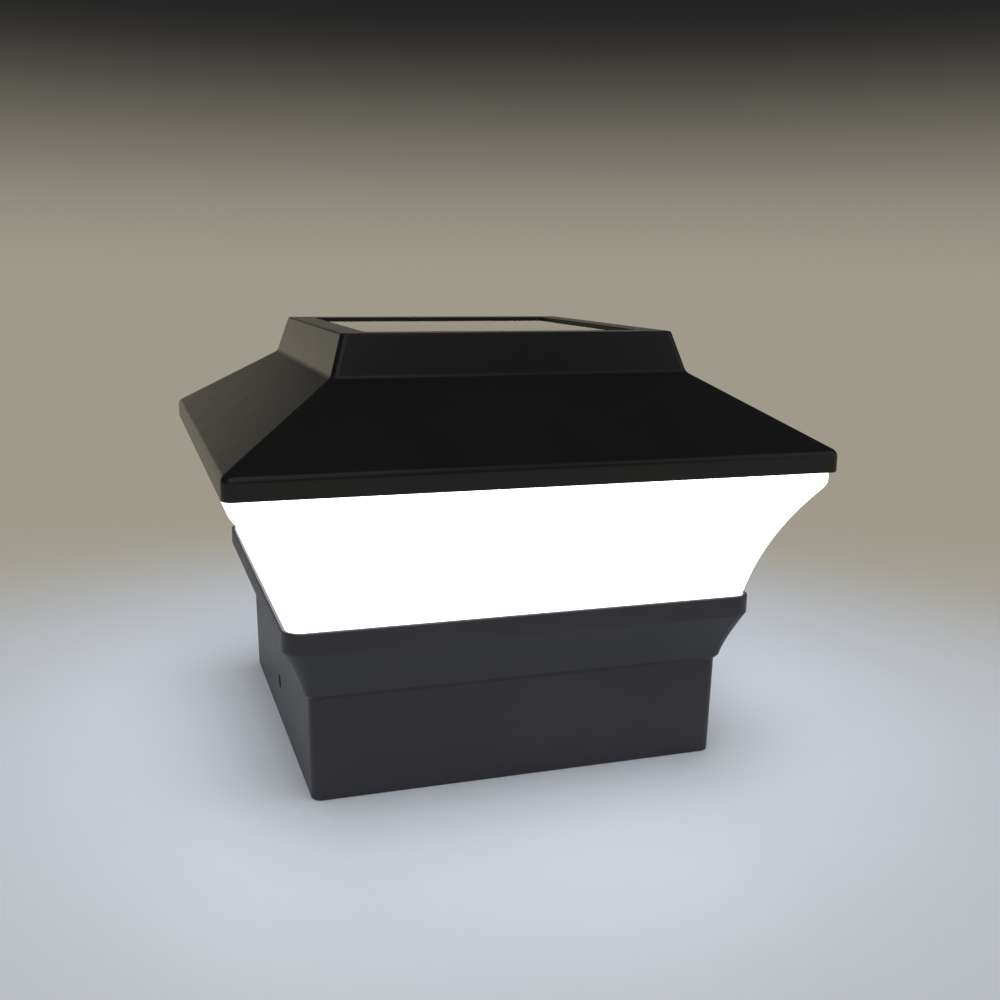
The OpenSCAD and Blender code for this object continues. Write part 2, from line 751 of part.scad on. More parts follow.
module battery_box() {
    color(plain_white) difference() {
        union() {
            slab(box_half_l, box_half_w, 1.6, floor_top_z, box_top_z - floor_top_z);
            for (x = [-1, 1])
                translate([x * box_foot_x, 0, 0]) brick(-box_foot_w / 2, box_foot_w / 2,
                    -box_screw_y - standoff_r, box_screw_y + standoff_r,
                    floor_top_z + box_boss_h, floor_top_z + box_boss_h + box_wall);
        }
        slab(room_half_l, room_half_w, inner_corner_r, floor_top_z - past, box_roof_z - floor_top_z + past);
        for (x = [-1, 1], y = [-1, 1])
            translate([x * box_foot_x, y * box_screw_y, 0])
                rod(screw_hole_r, floor_top_z, floor_top_z + box_boss_h + box_wall + past);
        // Slots for the contacts' solder tabs
        for (x = [-1, 1])
            translate([x * (box_half_l - box_wall / 2), tab_y, tab_z + tab_h / 2])
                cube([3 * box_wall, 2 * tab_half_w + fine, tab_h + fine], center = true);
    }
}

module box_screws() {
    color("#9b9ca0") for (x = [-1, 1], y = [-1, 1])
        translate([x * box_foot_x, y * box_screw_y, floor_top_z + box_boss_h + box_wall])
            mirror([0, 0, 1]) screw(0, box_screw_l);
}

// The cell lies along X with its raised end at +X
module battery() {
    nub = 1;
    color("#4a6f8f") translate([battery_x, 0, battery_z]) rotate([0, 90, 0]) {
        translate([0, 0, -battery_l / 2]) cylinder(d = battery_d, h = battery_l - nub, $fn = 64);
        cylinder(d = 5, h = battery_l / 2, $fn = 32);
    }
}

module contact(x) {
    mirror([x < 0 ? 1 : 0, 0, 0]) {
        brick(room_half_l - plate_t, room_half_l, -contact_half_w, contact_half_w, contact_z,
            contact_z + contact_h);
        brick(room_half_l - plate_t, room_half_l + tab_l, tab_y - tab_half_w, tab_y + tab_half_w,
            tab_z, tab_z + tab_h);
    }
}

module positive_contact() {
    color("#c7c7c2") contact(1);
}

module negative_contact() {
    color("#c7c7c2") contact(-1);
}

spring_wire = 0.7;
spring_big_r = 4.4;
spring_small_r = 2.4;
spring_steps = 16;
module contact_spring() {
    steps = spring_turns * spring_steps;
    x0 = -room_half_l + plate_t + spring_wire / 2;
    run_l = spring_l - spring_wire;
    color("#c7c7c2") tube([for (i = [0:steps]) let(t = i / steps, r = spring_big_r
            + (spring_small_r - spring_big_r) * t)
            [x0 + run_l * t, r * cos(360 * spring_turns * t), battery_z + r * sin(360 * spring_turns * t)]],
        spring_wire, [1, 0, 0], 6);
}

module battery_wire(x) {
    last = len(battery_route) - 1;
    tube([for (i = [0:last]) let(p = battery_route[i]) [x * (box_half_l + p[0]), p[1],
        i == last ? board_top_z : tab_z + p[2]]], battery_wire_d, [1, 0.3, 0], squared = true);
}

module battery_wire_red() {
    color("#b3261e") battery_wire(1);
}

module battery_wire_black() {
    color("#1c1c1c") battery_wire(-1);
}

// ---- Battery door -------------------------------------------------------------------------

module battery_door() {
    color(base_black) difference() {
        union() {
            slab(door_half_l, door_half_w, 2, door_z, door_t);
            // Finger lip along the free edge
            brick(-latch_w / 2, latch_w / 2, door_half_w - past, door_half_w + latch_lip, door_z, door_z + 1);
            for (x = [-hinge_x, hinge_x])
                translate([x, 0, 0]) {
                    brick(-knuckle_w / 2, knuckle_w / 2, hinge_y, past - door_half_w, door_z, door_z + door_t);
                    translate([-knuckle_w / 2, hinge_y, hinge_z]) rotate([0, 90, 0])
                        cylinder(r = knuckle_r, h = knuckle_w, $fn = 48);
                }
        }
        translate([-door_half_l, hinge_y, hinge_z]) rotate([0, 90, 0])
            cylinder(r = hinge_pin_d / 2 + running, h = 2 * door_half_l, $fn = 48);
    }
}

module hinge_pin() {
    half = hinge_x + knuckle_w / 2 + fine + lug_w;
    color("#c7c7c2") translate([-half, hinge_y, hinge_z]) rotate([0, 90, 0])
        cylinder(d = hinge_pin_d, h = 2 * half, $fn = 48);
}

module door_seal() {
    color("#4b4b4d") frame_slab(seal_half_l - gasket_squeeze, seal_half_w - gasket_squeeze,
        seal_w - 2 * gasket_squeeze, 1.5, floor_z - door_gap + gasket_squeeze,
        door_gap - gasket_squeeze + seal_deep);
}

// ---- Mode button --------------------------------------------------------------------------

module mode_switch() {
    color("#26262a") translate([0, button_y, 0]) difference() {
        brick(-switch_w / 2, switch_w / 2, -switch_w / 2, switch_w / 2, switch_z, board_z);
        rod(plunger_r + running, switch_z - past, board_z - 0.2);
    }
}

module switch_plunger() {
    color(plain_white) translate([0, button_y, 0])
        rod(plunger_r, button_flange_z + button_flange_t, switch_z + plunger_in);
}

module mode_button() {
    color("#c8c8c4") translate([0, button_y, button_z]) rotate_extrude($fn = 64) difference() {
        union() {
            square([button_r, button_flange_z - button_z]);
            translate([0, button_flange_z - button_z])
                square([button_flange_r, button_flange_t]);
        }
        translate([button_r - edge_r, 0]) rotate(-45) square([2 * edge_r, edge_r]);
    }
}

roof_cap();
panel_tape();
panel_backing();
solar_cells();
cell_ribbons();
panel_cover();
roof_gasket();
roof_screws();
diffuser();
base_gasket();
base();
base_screws();
reflector_plate();
plate_screws();
circuit_board();
leds();
control_chip();
board_parts();
wire_socket();
wire_plug();
solar_wire_red();
solar_wire_black();
battery_box();
box_screws();
battery();
positive_contact();
negative_contact();
contact_spring();
battery_wire_red();
battery_wire_black();
battery_door();
hinge_pin();
door_seal();
mode_switch();
switch_plunger();
mode_button();
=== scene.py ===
import json
import math

import bmesh
import bpy
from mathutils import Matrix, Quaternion, Vector


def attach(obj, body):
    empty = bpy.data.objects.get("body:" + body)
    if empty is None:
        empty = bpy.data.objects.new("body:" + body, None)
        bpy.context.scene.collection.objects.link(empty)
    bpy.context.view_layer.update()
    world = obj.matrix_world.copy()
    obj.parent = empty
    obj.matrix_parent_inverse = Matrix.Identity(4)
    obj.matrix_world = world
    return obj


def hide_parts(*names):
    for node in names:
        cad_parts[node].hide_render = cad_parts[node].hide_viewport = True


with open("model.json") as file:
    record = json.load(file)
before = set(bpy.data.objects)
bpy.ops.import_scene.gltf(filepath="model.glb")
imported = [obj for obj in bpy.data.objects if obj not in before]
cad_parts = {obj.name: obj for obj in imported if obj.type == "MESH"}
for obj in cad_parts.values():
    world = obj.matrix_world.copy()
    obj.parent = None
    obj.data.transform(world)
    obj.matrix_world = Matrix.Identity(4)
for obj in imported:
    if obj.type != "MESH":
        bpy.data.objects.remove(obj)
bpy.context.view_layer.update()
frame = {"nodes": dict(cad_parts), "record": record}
nodes = frame["nodes"]
MM = 0.001


# ---- Materials ----------------------------------------------------------------------------

def linear(colour):
    """An sRGB hex colour as linear red, green, blue and an alpha of 1."""
    parts = [int(colour[i:i + 2], 16) / 255 for i in (1, 3, 5)]
    return [c / 12.92 if c <= 0.04045 else ((c + 0.055) / 1.055) ** 2.4 for c in parts] + [1]


def add(tree, kind, inputs, **settings):
    """Adds a node, sets its settings, and gives each input a value or a link."""
    node = tree.nodes.new("ShaderNode" + kind)
    for name, value in settings.items():
        setattr(node, name, value)
    for name, value in inputs.items():
        if isinstance(value, bpy.types.NodeSocket):
            tree.links.new(value, node.inputs[name])
        else:
            node.inputs[name].default_value = value
    return node


def material(name):
    """An empty material, its node tree and its Object coordinates in metres."""
    made = bpy.data.materials.new(name)
    made.use_nodes = True
    made.node_tree.nodes.clear()
    place = add(made.node_tree, "TexCoord", {}).outputs["Object"]
    return made, made.node_tree, place


def output(made, tree, shader):
    """Ends the material with this shader."""
    add(tree, "OutputMaterial", {"Surface": shader.outputs[0]})
    return made


def per_metre(size_mm):
    """The scale of a noise whose grains are about this wide."""
    return 1 / (size_mm * MM)


# Most of a noise lies between these values
NOISE_LOW, NOISE_HIGH = 0.3, 0.7


def two_tone(tree, place, size_mm, dark, light):
    """A colour that wanders between two tones in patches of about this size."""
    cloud = add(tree, "TexNoise", {"Vector": place, "Scale": per_metre(size_mm), "Detail": 4.0})
    ramp = add(tree, "ValToRGB", {"Fac": cloud.outputs["Fac"]})
    ramp.color_ramp.elements[0].position = NOISE_LOW
    ramp.color_ramp.elements[0].color = linear(dark)
    ramp.color_ramp.elements[1].position = NOISE_HIGH
    ramp.color_ramp.elements[1].color = linear(light)
    return ramp.outputs["Color"]


def grain(tree, place, size_mm, height_mm):
    """A fine bump of this grain size and height."""
    noise = add(tree, "TexNoise", {"Vector": place, "Scale": per_metre(size_mm), "Detail": 2.0})
    bump = add(tree, "Bump", {"Height": noise.outputs["Fac"], "Distance": height_mm * MM,
                              "Strength": 1.0})
    return bump.outputs["Normal"]


def uneven(tree, place, size_mm, low, high):
    """A roughness that wanders between two values."""
    noise = add(tree, "TexNoise", {"Vector": place, "Scale": per_metre(size_mm), "Detail": 3.0})
    spread = add(tree, "MapRange", {"Value": noise.outputs["Fac"], "From Min": NOISE_LOW,
                                    "From Max": NOISE_HIGH, "To Min": low, "To Max": high})
    return spread.outputs["Result"]


def moulded(name, dark, light, low, high, grain_mm=0.45, height_mm=0.012, ior=1.53):
    """Injection-moulded plastic with a spark-eroded texture: an even satin, a little cloudy."""
    made, tree, place = material(name)
    return output(made, tree, add(tree, "BsdfPrincipled", {
        "Base Color": two_tone(tree, place, 22, dark, light),
        "Roughness": uneven(tree, place, 9, low, high),
        "IOR": ior,
        "Normal": grain(tree, place, grain_mm, height_mm)}))


def metal(name, dark, light, low, high):
    """Plated metal: bright, with a slightly cloudy plating."""
    made, tree, place = material(name)
    return output(made, tree, add(tree, "BsdfPrincipled", {
        "Base Color": two_tone(tree, place, 2.5, dark, light),
        "Metallic": 1.0,
        "Roughness": uneven(tree, place, 1.5, low, high),
        "Normal": grain(tree, place, 0.3, 0.004)}))


def rubber(name, dark, light):
    """Soft moulded rubber: dull, and a little dusty."""
    made, tree, place = material(name)
    return output(made, tree, add(tree, "BsdfPrincipled", {
        "Base Color": two_tone(tree, place, 3, dark, light),
        "Roughness": uneven(tree, place, 2, 0.7, 0.9),
        "IOR": 1.5,
        "Normal": grain(tree, place, 0.4, 0.03)}))


# The grain of a spark-eroded mould is about 0.1 mm, too fine to show here, so it is drawn coarser
roof_abs = moulded("moulded_black_abs", "#151516", "#181819", 0.26, 0.28,
                   height_mm=0.003, ior=1.42)
base_abs = moulded("moulded_charcoal_abs", "#2c2b30", "#313035", 0.42, 0.46, ior=1.42)
white_abs = moulded("moulded_white_abs", "#dedcd6", "#e8e6e0", 0.35, 0.45)
button_plastic = moulded("moulded_grey_nylon", "#b4b4b0", "#c4c4c0", 0.38, 0.5, 0.3)
screw_steel = metal("zinc_plated_steel", "#9fa1a4", "#b4b6b8", 0.24, 0.36)
contact_steel = metal("nickel_plated_spring_steel", "#b3afa6", "#c8c4ba", 0.15, 0.28)
seal_rubber = rubber("moulded_silicone_rubber", "#363638", "#434346")
foam = rubber("closed_cell_foam_tape", "#1c1c1c", "#262626")


def opal(name):
    """Opal polycarbonate lit from inside: an even cool white, past what a picture can show."""
    made, tree, place = material(name)
    skin = add(tree, "BsdfPrincipled", {
        "Base Color": two_tone(tree, place, 30, "#e9edf2", "#f1f4f8"),
        "Roughness": uneven(tree, place, 12, 0.30, 0.38),
        "IOR": 1.58,
        "Emission Color": linear("#f4f8ff"),
        "Emission Strength": 2.6,
        "Normal": grain(tree, place, 0.5, 0.006)})
    return output(made, tree, skin)


opal_plastic = opal("moulded_opal_polycarbonate")


def clear_sheet(name):
    """Clear acrylic sheet: it shows the cells from above, and at a low angle mirrors the room."""
    made, tree, place = material(name)
    return output(made, tree, add(tree, "BsdfPrincipled", {
        "Base Color": linear("#f4f6f4"),
        "Roughness": 0.03,
        "IOR": 1.49,
        "Transmission Weight": 1.0,
        "Normal": grain(tree, place, 18, 0.02)}))


clear_acrylic = clear_sheet("cast_clear_acrylic")


# The silver fingers' spacing and width in mm
FINGER_PITCH, FINGER_W = 4, 0.18


def silicon(name):
    """Cut silicon strips: dark blue crystal under fine silver fingers.

    Real fingers stand closer and are thinner, and wouldn't show.
    """
    made, tree, place = material(name)
    crystal = add(tree, "TexVoronoi", {"Vector": place, "Scale": per_metre(4.5)})
    tint = add(tree, "ValToRGB", {"Fac": crystal.outputs["Color"]})
    tint.color_ramp.elements[0].color = linear("#182450")
    tint.color_ramp.elements[1].color = linear("#30447e")
    axes = add(tree, "SeparateXYZ", {"Vector": place})
    steps = add(tree, "Math", {0: axes.outputs["Y"], 1: FINGER_PITCH / 2 * MM},
                operation="PINGPONG")
    finger = add(tree, "Math", {0: steps.outputs[0], 1: FINGER_W / 2 * MM},
                 operation="LESS_THAN")
    colour = add(tree, "MixRGB", {"Fac": finger.outputs[0], "Color1": tint.outputs["Color"],
                                  "Color2": linear("#c2c7cd")})
    return output(made, tree, add(tree, "BsdfPrincipled", {
        "Base Color": colour.outputs[0],
        "Roughness": uneven(tree, place, 4, 0.22, 0.34),
        "IOR": 1.9,
        "Normal": grain(tree, place, 0.6, 0.004)}))


def board(name, dark, light):
    """Solder mask over glass-fibre board: glossy lacquer with the weave just showing."""
    made, tree, place = material(name)
    weave = add(tree, "TexWave", {"Vector": place, "Scale": per_metre(6), "Distortion": 1.0})
    bump = add(tree, "Bump", {"Height": weave.outputs["Fac"], "Distance": 0.01 * MM})
    return output(made, tree, add(tree, "BsdfPrincipled", {
        "Base Color": two_tone(tree, place, 5, dark, light),
        "Roughness": uneven(tree, place, 3, 0.25, 0.38),
        "IOR": 1.55,
        "Normal": bump.outputs["Normal"]}))


def glowing(name):
    """Yellow phosphor gel over a white chip, lit."""
    made, tree, place = material(name)
    return output(made, tree, add(tree, "BsdfPrincipled", {
        "Base Color": two_tone(tree, place, 0.8, "#f2d867", "#fbe88e"),
        "Roughness": uneven(tree, place, 0.5, 0.2, 0.35),
        "Emission Color": linear("#f4f8ff"),
        "Emission Strength": 2.0}))


looks = {
    "solar_cells": silicon("cut_silicon_cells"),
    "cell_ribbons": metal("tinned_copper_ribbon", "#bcbfc2", "#d2d4d6", 0.3, 0.45),
    "panel_backing": board("green_masked_fibreglass", "#122019", "#182b22"),
    "panel_tape": foam,
    "roof_gasket": seal_rubber,
    "base_gasket": seal_rubber,
    "door_seal": seal_rubber,
    "circuit_board": board("white_masked_fibreglass", "#d8dad2", "#e6e8e0"),
    "leds": glowing("lit_led_phosphor"),
    "control_chip": moulded("moulded_black_epoxy", "#131314", "#1c1c1d", 0.45, 0.6, 0.2),
    "board_parts": moulded("fired_ceramic_chips", "#a67e44", "#c29a5a", 0.35, 0.5, 0.2),
    "mode_switch": moulded("moulded_black_polyamide", "#1d1d20", "#28282c", 0.4, 0.55, 0.3),
    "wire_socket": white_abs,
    "wire_plug": white_abs,
    "switch_plunger": white_abs,
    "reflector_plate": moulded("moulded_white_reflector", "#e6e6e2", "#f0f0ec", 0.3, 0.4),
    "battery_box": white_abs,
    "solar_wire_red": moulded("red_pvc_insulation", "#9c1f18", "#b02820", 0.35, 0.45, 0.5),
    "solar_wire_black": moulded("black_pvc_insulation", "#151515", "#1e1e1e", 0.35, 0.45, 0.5),
    "battery": moulded("shrunk_pvc_sleeve", "#3f6282", "#4b7192", 0.22, 0.32, 0.8, 0.004),
    "positive_contact": contact_steel,
    "negative_contact": contact_steel,
    "contact_spring": contact_steel,
    "hinge_pin": contact_steel,
}
looks["battery_wire_red"] = looks["solar_wire_red"]
looks["battery_wire_black"] = looks["solar_wire_black"]
for node, look in looks.items():
    for surface in nodes[node].material_slots:
        surface.material = look


# ---- Modelling tools ----------------------------------------------------------------------
# A profile is a list of points going round a section, each [half width, height, corner radius] in mm

CORNER_STEPS = 8
# Without a window, transform.rotate turns the other way
WAY = -1
# Points closer than this are one point, and an edge this near to a profile's corner lies on it
SAME, LEVEL_NEAR, SIDE_NEAR = 0.002, 0.01, 0.02
# How far a solid reaches into the one that it is fused to, and a cutter past what it cuts
WELD, PAST = 0.6, 1
# Edges that bend by less than this many degrees are shaded smooth
SMOOTH, SMOOTH_WIRE = 34, 65


def deselect():
    """Leaves edit mode with nothing selected."""
    if bpy.context.object and bpy.context.object.mode == "EDIT":
        bpy.ops.object.mode_set(mode="OBJECT")
    bpy.ops.object.select_all(action="DESELECT")


def pick(kind, test):
    """In edit mode, selects only the verts, edges or faces that pass the test."""
    bpy.ops.mesh.select_mode(type=kind)
    bpy.ops.mesh.select_all(action="DESELECT")
    mesh = bpy.context.object.data
    made = bmesh.from_edit_mesh(mesh)
    for item in {"VERT": made.verts, "EDGE": made.edges, "FACE": made.faces}[kind]:
        if test(item):
            item.select_set(True)
    bmesh.update_edit_mesh(mesh)


def picked():
    """The numbers of the selected vertices in edit mode."""
    made = bmesh.from_edit_mesh(bpy.context.object.data)
    return {v.index for v in made.verts if v.select}


def resize(factor, about):
    """Scales the selection in X and Y about a point given in mm."""
    bpy.ops.transform.resize(value=(factor, factor, 1), center_override=Vector(about) * MM)


def off_square(point, half, radius):
    """How far a point lies outside a rounded square, in mm."""
    x, y = abs(point[0]) - half + radius, abs(point[1]) - half + radius
    return math.hypot(max(x, 0), max(y, 0)) + min(max(x, y), 0) - radius


def round_off(corners, width, steps=4):
    """Rounds the profile's corners all the way round the piece in edit mode."""
    def lies_on(edge):
        return any(all(abs(v.co.z / MM - z) < LEVEL_NEAR
                       and abs(off_square(v.co / MM, half, radius)) < SIDE_NEAR for v in edge.verts)
                   for half, z, radius in corners)
    pick("EDGE", lies_on)
    bpy.ops.mesh.bevel(offset=width * MM, segments=steps, affect="EDGES")


def first_ring(half, z, radius):
    """A flat rounded square, in edit mode."""
    deselect()
    bpy.ops.mesh.primitive_plane_add(size=2 * half * MM, location=(0, 0, z * MM))
    bpy.ops.object.transform_apply()
    bpy.ops.object.mode_set(mode="EDIT")
    bpy.ops.mesh.select_all(action="SELECT")
    bpy.ops.mesh.bevel(offset=radius * MM, segments=CORNER_STEPS, affect="VERTICES")


def swept(profile):
    """A closed shell in edit mode: a rounded square ring, extruded and scaled from point to point."""
    first_ring(*profile[0])
    bpy.ops.mesh.delete(type="ONLY_FACE")
    bpy.ops.mesh.select_mode(type="EDGE")
    bpy.ops.mesh.select_all(action="SELECT")
    for (half, z, radius), (next_half, next_z, next_radius) in zip(profile, profile[1:] + profile[:1]):
        bpy.ops.mesh.extrude_edges_move(TRANSFORM_OT_translate={"value": (0, 0, (next_z - z) * MM)})
        resize(next_half / half, (0, 0, 0))
        ring = picked()
        factor = next_radius / (radius * next_half / half)
        for x, y in ((1, 1), (-1, 1), (-1, -1), (1, -1)):
            pick("VERT", lambda v: v.index in ring and v.co.x * x > 0 and v.co.y * y > 0)
            resize(factor, (x * next_half, y * next_half, 0))
        pick("EDGE", lambda edge: all(v.index in ring for v in edge.verts))
    bpy.ops.mesh.select_all(action="SELECT")
    bpy.ops.mesh.remove_doubles(threshold=SAME * MM)
    bpy.ops.mesh.normals_make_consistent(inside=False)


def turned(profile, x=0, y=0, sides=40):
    """A turned solid: a disc at the first [radius, height], extruded and scaled up to the last one."""
    deselect()
    radius, z = profile[0]
    bpy.ops.mesh.primitive_circle_add(vertices=sides, radius=radius * MM, fill_type="NGON",
                                      location=(x * MM, y * MM, z * MM))
    bpy.ops.object.transform_apply()
    bpy.ops.object.mode_set(mode="EDIT")
    bpy.ops.mesh.select_all(action="SELECT")
    for (radius, z), (next_radius, next_z) in zip(profile, profile[1:]):
        bpy.ops.mesh.extrude_region_move(TRANSFORM_OT_translate={"value": (0, 0, (next_z - z) * MM)})
        resize(next_radius / radius, (x, y, 0))
    bpy.ops.mesh.select_all(action="SELECT")
    bpy.ops.mesh.normals_make_consistent(inside=False)
    deselect()
    return bpy.context.object


def brick(x0, x1, y0, y1, z0, z1):
    """A square block between two corners."""
    deselect()
    bpy.ops.mesh.primitive_cube_add(size=1, location=((x0 + x1) / 2 * MM, (y0 + y1) / 2 * MM,
                                                      (z0 + z1) / 2 * MM),
                                    scale=((x1 - x0) * MM, (y1 - y0) * MM, (z1 - z0) * MM))
    bpy.ops.object.transform_apply()
    return bpy.context.object


def plate(half_x, half_y, radius, z0, z1, soft=0):
    """A rounded plate: a plane with its corners bevelled, extruded, then its rims bevelled."""
    deselect()
    bpy.ops.mesh.primitive_plane_add(size=2 * MM, location=(0, 0, z0 * MM))
    bpy.ops.transform.resize(value=(half_x, half_y, 1))
    bpy.ops.object.transform_apply()
    bpy.ops.object.mode_set(mode="EDIT")
    bpy.ops.mesh.select_all(action="SELECT")
    bpy.ops.mesh.bevel(offset=radius * MM, segments=CORNER_STEPS, affect="VERTICES")
    bpy.ops.mesh.select_all(action="SELECT")
    bpy.ops.mesh.extrude_region_move(TRANSFORM_OT_translate={"value": (0, 0, (z1 - z0) * MM)})
    bpy.ops.mesh.select_all(action="SELECT")
    bpy.ops.mesh.normals_make_consistent(inside=False)
    if soft:
        pick("EDGE", lambda edge: abs(edge.verts[0].co.z - edge.verts[1].co.z) < SAME / 2 * MM)
        bpy.ops.mesh.bevel(offset=soft * MM, segments=3, affect="EDGES")
    deselect()
    return bpy.context.object


def block(profile, radius):
    """A solid square tower: a rounded square scaled from one [half width, height] to the next."""
    half, z = profile[0]
    first_ring(half, z, radius)
    bpy.ops.mesh.select_all(action="SELECT")
    for (half, z), (next_half, next_z) in zip(profile, profile[1:]):
        bpy.ops.mesh.extrude_region_move(TRANSFORM_OT_translate={"value": (0, 0, (next_z - z) * MM)})
        resize(next_half / half, (0, 0, 0))
    bpy.ops.mesh.select_all(action="SELECT")
    bpy.ops.mesh.normals_make_consistent(inside=False)
    deselect()
    return bpy.context.object


def turn(piece, degrees, axis="Z"):
    """Turns the piece's mesh about an axis through the origin."""
    deselect()
    piece.select_set(True)
    bpy.context.view_layer.objects.active = piece
    bpy.ops.object.mode_set(mode="EDIT")
    bpy.ops.mesh.select_all(action="SELECT")
    bpy.ops.transform.rotate(value=math.radians(degrees) * WAY, orient_axis=axis,
                             center_override=(0, 0, 0))
    bpy.ops.object.mode_set(mode="OBJECT")
    return piece


def copied(piece):
    """A copy with its own mesh."""
    other = piece.copy()
    other.data = piece.data.copy()
    bpy.context.scene.collection.objects.link(other)
    return other


def moved(piece, x, y, z=0):
    """The piece moved, with its place kept in its mesh."""
    deselect()
    piece.select_set(True)
    bpy.context.view_layer.objects.active = piece
    bpy.ops.transform.translate(value=(x * MM, y * MM, z * MM))
    bpy.ops.object.transform_apply()
    return piece


def joined(pieces):
    """Several separate solids as one piece."""
    deselect()
    for piece in pieces:
        piece.select_set(True)
    bpy.context.view_layer.objects.active = pieces[0]
    bpy.ops.object.join()
    return bpy.context.object


def combine(piece, other, operation):
    """Fuses another solid to the piece, or cuts it away."""
    deselect()
    bpy.context.view_layer.objects.active = piece
    step = piece.modifiers.new("combine", "BOOLEAN")
    step.operation = operation
    step.solver = "EXACT"
    step.object = other
    bpy.ops.object.modifier_apply(modifier=step.name)
    bpy.data.objects.remove(other, do_unlink=True)


def at_corners(piece):
    """The piece and its three copies a quarter turn apart, as one."""
    return joined([piece] + [turn(copied(piece), 90 * quarter) for quarter in (1, 2, 3)])


def finished(piece, name, look, body, slot, *replaced, angle=SMOOTH):
    """Names and smooths a piece, gives it its material and body, and hides the CAD nodes that it stands
    for.
    """
    deselect()
    piece.name = piece.data.name = name
    piece.select_set(True)
    bpy.context.view_layer.objects.active = piece
    bpy.ops.object.shade_smooth_by_angle(angle=math.radians(angle))
    even = piece.modifiers.new("even_normals", "WEIGHTED_NORMAL")
    even.keep_sharp = True
    bpy.ops.object.modifier_apply(modifier=even.name)
    piece.data.materials.clear()
    piece.data.materials.append(look)
    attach(piece, body)
    if replaced:
        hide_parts(*replaced)
    return piece


# ---- Roof ---------------------------------------------------------------------------------

# Half widths, heights and corner radii in mm, outside first and then the skin's inner side
EAVE, EAVE_LOW, EAVE_TOP, EAVE_R = 74.93, 79.4, 84.5, 2.6
KNEE, KNEE_Z, HIP_R = 46.5, 102.2, 1.7
TOP, TOP_Z = 43.3, 112.5
POCKET, LEDGE, LEDGE_Z, LEDGE_LOW = 36.0, 31.5, 108.9, 106.7
UNDER_TOP, UNDER_KNEE, UNDER_KNEE_Z = 42.9, 44.64, 100.77
UNDER_EAVE, UNDER_EAVE_Z, UNDER_R = 72.73, 83.28, 1
# The bar that presses on the gasket
BAR_IN, BAR_OUT, BAR_Z, BAR_TOP = 70.33, 73.33, 82.6, 85.28
# The middle of the skin, where the screw bosses end
MID_EAVE, MID_EAVE_Z, MID_KNEE, MID_KNEE_Z, MID_R, MID_LOW = 73.83, 83.9, 45.57, 101.5, 1.5, 80
ROOF_BOSS, BOSS_TOP = 56.5, 97
BOSS, PILOT, PILOT_DEEP, SCREW_HOLE = 3.6, 1.55, 7.5, 1.7
COLUMN = 47.6

swept([[EAVE, EAVE_LOW, EAVE_R], [EAVE, EAVE_TOP, EAVE_R], [KNEE, KNEE_Z, HIP_R], [TOP, TOP_Z, HIP_R],
       [POCKET, TOP_Z, HIP_R], [POCKET, LEDGE_Z, HIP_R], [LEDGE, LEDGE_Z, HIP_R],
       [LEDGE, LEDGE_LOW, HIP_R], [UNDER_TOP, LEDGE_LOW, UNDER_R], [UNDER_KNEE, UNDER_KNEE_Z, UNDER_R],
       [UNDER_EAVE, UNDER_EAVE_Z, UNDER_R], [UNDER_EAVE, EAVE_LOW, UNDER_R]])
round_off([[EAVE, EAVE_TOP, EAVE_R]], 1.2, 5)
round_off([[KNEE, KNEE_Z, HIP_R]], 0.8)
round_off([[TOP, TOP_Z, HIP_R], [POCKET, TOP_Z, HIP_R]], 0.45, 3)
round_off([[EAVE, EAVE_LOW, EAVE_R], [LEDGE, LEDGE_Z, HIP_R]], 0.3, 3)
deselect()
roof = bpy.context.object

swept([[BAR_IN, BAR_Z, UNDER_R], [BAR_OUT, BAR_Z, EAVE_R], [BAR_OUT, UNDER_EAVE_Z, EAVE_R],
       [BAR_IN, BAR_TOP, UNDER_R]])
deselect()
combine(roof, bpy.context.object, "UNION")
boss = turned([[BOSS, BOSS_TOP], [BOSS, BAR_Z], [PILOT, BAR_Z], [PILOT, BAR_Z + PILOT_DEEP]],
              ROOF_BOSS, ROOF_BOSS)
bosses = at_corners(boss)
combine(bosses, block([[MID_EAVE, MID_LOW], [MID_EAVE, MID_EAVE_Z], [MID_KNEE, MID_KNEE_Z]], MID_R),
        "INTERSECT")
combine(roof, bosses, "UNION")
# The union leaves spare points on the bosses' rims, more or fewer from run to run
bpy.ops.object.mode_set(mode="EDIT")
pick("VERT", lambda v: len(v.link_edges) == 2)
bpy.ops.mesh.dissolve_verts()
finished(roof, "roof_moulding", roof_abs, "housing", "roof_plastic", "roof_cap")

# ---- Solar panel cover --------------------------------------------------------------------

PANEL, COVER_Z, COVER_TOP = 35.8, 110.94, 111.9

cover = plate(PANEL, PANEL, HIP_R, COVER_Z, COVER_TOP, 0.25)
finished(cover, "panel_cover_sheet", clear_acrylic, "housing", "clear_cover", "panel_cover")

# ---- Diffuser -----------------------------------------------------------------------------

FOOT, SKIRT_Z, LIP_TOP_Z, LIP_BACK_R = 59.7, 43.0, 45.1, 3.7
GLOW_H, GLOW_R, GLOW_LEAN = 30, 77, 11.5
BAND, BAND_LOW, BAND_TOP, BAND_R = 73.63, 76.5, 79.0, 3
TONGUE, TONGUE_Z, TONGUE_R = 72.53, 81.8, 2
GLOW_WALL, TONGUE_WALL, GLOW_BACK_R = 2.05, 2, 1.2
# The skirt narrows downwards, and the band widens upwards, by this
TAPER = 0.1


def glow(share):
    """A point of the diffuser's hollow curve, from foot to band."""
    lean = math.sin(math.radians(GLOW_LEAN)) + GLOW_H * share / GLOW_R
    return [FOOT + GLOW_R * (math.cos(math.radians(GLOW_LEAN)) - math.sqrt(1 - lean * lean)),
            LIP_TOP_Z + GLOW_H * share, LIP_BACK_R + (BAND_R - LIP_BACK_R) * share]


